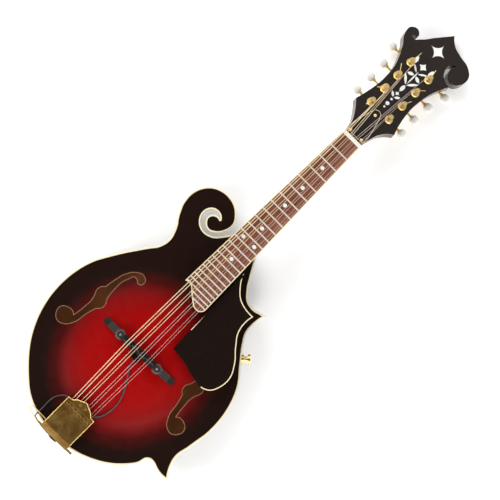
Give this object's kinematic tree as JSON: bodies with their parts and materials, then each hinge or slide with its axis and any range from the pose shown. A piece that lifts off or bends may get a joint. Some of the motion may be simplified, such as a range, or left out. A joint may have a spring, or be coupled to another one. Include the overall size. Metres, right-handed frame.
{
  "type": "mandolin",
  "caption": "F-style mandolin: carved body with scroll and points, raised pickguard, movable bridge, paired strings and worm tuners, with a contact pickup and its lead.",
  "frame": {"origin": "centre of the bounding box on the ground the instrument lies on, face up", "axes": "+X to the treble side, +Y along the neck towards the headstock, +Z out of the face"},
  "size_m": [0.2552, 0.686, 0.0894],
  "materials": {
    "top_wood": "gloss red to brown sunburst",
    "body_wood": "gloss dark brown maple",
    "inner_wood": "unfinished",
    "ebony": "satin black",
    "rosewood": "satin red-brown",
    "ivoroid": "cream",
    "bone": "polished bone white",
    "pearl": "iridescent white",
    "fret_metal": "polished",
    "steel": "satin",
    "string_steel": "bright",
    "string_bronze": "wound",
    "gold": "polished gold plate",
    "antique_brass": "antique",
    "nickel": "polished",
    "black_plastic": "gloss black",
    "black_metal": "black",
    "cable_rubber": "matt dark grey"
  },
  "bodies": {
    "instrument": {"top_plate": "top_wood", "back_plate": "body_wood", "rim_bass": "body_wood", "rim_scroll": "body_wood", "rim_treble": "body_wood", "end_blocks": "inner_wood", "linings": "inner_wood", "tone_bars": "inner_wood", "top_binding": "ivoroid", "back_binding": "ivoroid", "soundhole_binding": "ivoroid", "neck": "body_wood", "fingerboard": "rosewood", "fingerboard_binding": "ivoroid", "frets": "fret_metal", "position_dots": "pearl", "nut": "bone", "headstock_overlay": "ebony", "headstock_inlay": "pearl", "truss_rod": "steel", "truss_rod_cover": "black_plastic", "small_screws": "gold", "tuner_plates": "gold", "tuner_bushings": "gold", "bridge_base": "ebony", "bridge_posts": "nickel", "pickup": "black_plastic", "pickup_cable": "cable_rubber", "cable_guide": "antique_brass", "pickguard": "black_plastic", "pickguard_binding": "ivoroid", "pickguard_bracket": "ebony", "tailpiece_base": "antique_brass", "output_jack": "black_metal", "strap_button": "gold", "strings_g": "string_bronze", "strings_d": "string_bronze", "strings_a": "string_steel", "strings_e": "string_steel"},
    "saddle": {"bridge_saddle": "ebony"},
    "wheel_bass": {"thumbwheel_bass": "nickel"},
    "wheel_treble": {"thumbwheel_treble": "nickel"},
    "tail_cover": {"tailpiece_cover": "antique_brass"},
    "rod_nut": {"truss_rod_nut": "antique_brass"},
    "post_1": {"tuner_post_1": "gold"},
    "key_1": {"tuner_key_1": "gold"},
    "post_2": {"tuner_post_2": "gold"},
    "key_2": {"tuner_key_2": "gold"},
    "post_3": {"tuner_post_3": "gold"},
    "key_3": {"tuner_key_3": "gold"},
    "post_4": {"tuner_post_4": "gold"},
    "key_4": {"tuner_key_4": "gold"},
    "post_5": {"tuner_post_5": "gold"},
    "key_5": {"tuner_key_5": "gold"},
    "post_6": {"tuner_post_6": "gold"},
    "key_6": {"tuner_key_6": "gold"},
    "post_7": {"tuner_post_7": "gold"},
    "key_7": {"tuner_key_7": "gold"},
    "post_8": {"tuner_post_8": "gold"},
    "key_8": {"tuner_key_8": "gold"}
  },
  "joints": [
    {"name": "saddle_lift", "type": "slide", "parent": "instrument", "child": "saddle", "axis": [0, -0.0364, 0.9993], "range_m": [-0.0015, 0]},
    {"name": "wheel_bass_turn", "type": "hinge", "parent": "saddle", "child": "wheel_bass", "pos_m": [-0.0334, -0.19578, 0.08041], "axis": [0, -0.0364, 0.9993], "range_deg": [-680, 0]},
    {"name": "wheel_treble_turn", "type": "hinge", "parent": "saddle", "child": "wheel_treble", "pos_m": [0.02558, -0.19424, 0.08046], "axis": [0, -0.0364, 0.9993], "range_deg": [-680, 0]},
    {"name": "cover_slide", "type": "slide", "parent": "instrument", "child": "tail_cover", "axis": [0, -0.9993, -0.0364], "range_m": [0, 0.015]},
    {"name": "rod_nut_turn", "type": "hinge", "parent": "instrument", "child": "rod_nut", "pos_m": [-0.00391, 0.17019, 0.05948], "axis": [0, 0.9991, -0.0422], "range_deg": [-180, 180]},
    {"name": "post_1_turn", "type": "hinge", "parent": "instrument", "child": "post_1", "pos_m": [-0.01891, 0.21051, 0.05342], "axis": [0, 0.2826, 0.9592], "continuous": true},
    {"name": "key_1_turn", "type": "hinge", "parent": "instrument", "child": "key_1", "pos_m": [-0.03391, 0.21132, 0.0328], "axis": [-1, 0, 0], "continuous": true},
    {"name": "post_2_turn", "type": "hinge", "parent": "instrument", "child": "post_2", "pos_m": [-0.01891, 0.23372, 0.04658], "axis": [0, 0.2826, 0.9592], "continuous": true},
    {"name": "key_2_turn", "type": "hinge", "parent": "instrument", "child": "key_2", "pos_m": [-0.03391, 0.23453, 0.02596], "axis": [-1, 0, 0], "continuous": true},
    {"name": "post_3_turn", "type": "hinge", "parent": "instrument", "child": "post_3", "pos_m": [-0.01891, 0.25694, 0.03974], "axis": [0, 0.2826, 0.9592], "continuous": true},
    {"name": "key_3_turn", "type": "hinge", "parent": "instrument", "child": "key_3", "pos_m": [-0.03391, 0.25774, 0.01912], "axis": [-1, 0, 0], "continuous": true},
    {"name": "post_4_turn", "type": "hinge", "parent": "instrument", "child": "post_4", "pos_m": [-0.01891, 0.28015, 0.0329], "axis": [0, 0.2826, 0.9592], "continuous": true},
    {"name": "key_4_turn", "type": "hinge", "parent": "instrument", "child": "key_4", "pos_m": [-0.03391, 0.28096, 0.01228], "axis": [-1, 0, 0], "continuous": true},
    {"name": "post_5_turn", "type": "hinge", "parent": "instrument", "child": "post_5", "pos_m": [0.01109, 0.21051, 0.05342], "axis": [0, 0.2826, 0.9592], "continuous": true},
    {"name": "key_5_turn", "type": "hinge", "parent": "instrument", "child": "key_5", "pos_m": [0.02609, 0.21132, 0.0328], "axis": [1, 0, 0], "continuous": true},
    {"name": "post_6_turn", "type": "hinge", "parent": "instrument", "child": "post_6", "pos_m": [0.01109, 0.23372, 0.04658], "axis": [0, 0.2826, 0.9592], "continuous": true},
    {"name": "key_6_turn", "type": "hinge", "parent": "instrument", "child": "key_6", "pos_m": [0.02609, 0.23453, 0.02596], "axis": [1, 0, 0], "continuous": true},
    {"name": "post_7_turn", "type": "hinge", "parent": "instrument", "child": "post_7", "pos_m": [0.01109, 0.25694, 0.03974], "axis": [0, 0.2826, 0.9592], "continuous": true},
    {"name": "key_7_turn", "type": "hinge", "parent": "instrument", "child": "key_7", "pos_m": [0.02609, 0.25774, 0.01912], "axis": [1, 0, 0], "continuous": true},
    {"name": "post_8_turn", "type": "hinge", "parent": "instrument", "child": "post_8", "pos_m": [0.01109, 0.28015, 0.0329], "axis": [0, 0.2826, 0.9592], "continuous": true},
    {"name": "key_8_turn", "type": "hinge", "parent": "instrument", "child": "key_8", "pos_m": [0.02609, 0.28096, 0.01228], "axis": [1, 0, 0], "continuous": true}
  ],
  "couplings": [
    {"joint": "wheel_bass_turn", "follows": "saddle_lift", "rad_per_m": 7854},
    {"joint": "wheel_treble_turn", "follows": "saddle_lift", "rad_per_m": 7854},
    {"joint": "key_1_turn", "follows": "post_1_turn", "ratio": 16},
    {"joint": "key_2_turn", "follows": "post_2_turn", "ratio": 16},
    {"joint": "key_3_turn", "follows": "post_3_turn", "ratio": 16},
    {"joint": "key_4_turn", "follows": "post_4_turn", "ratio": 16},
    {"joint": "key_5_turn", "follows": "post_5_turn", "ratio": 16},
    {"joint": "key_6_turn", "follows": "post_6_turn", "ratio": 16},
    {"joint": "key_7_turn", "follows": "post_7_turn", "ratio": 16},
    {"joint": "key_8_turn", "follows": "post_8_turn", "ratio": 16}
  ]
}
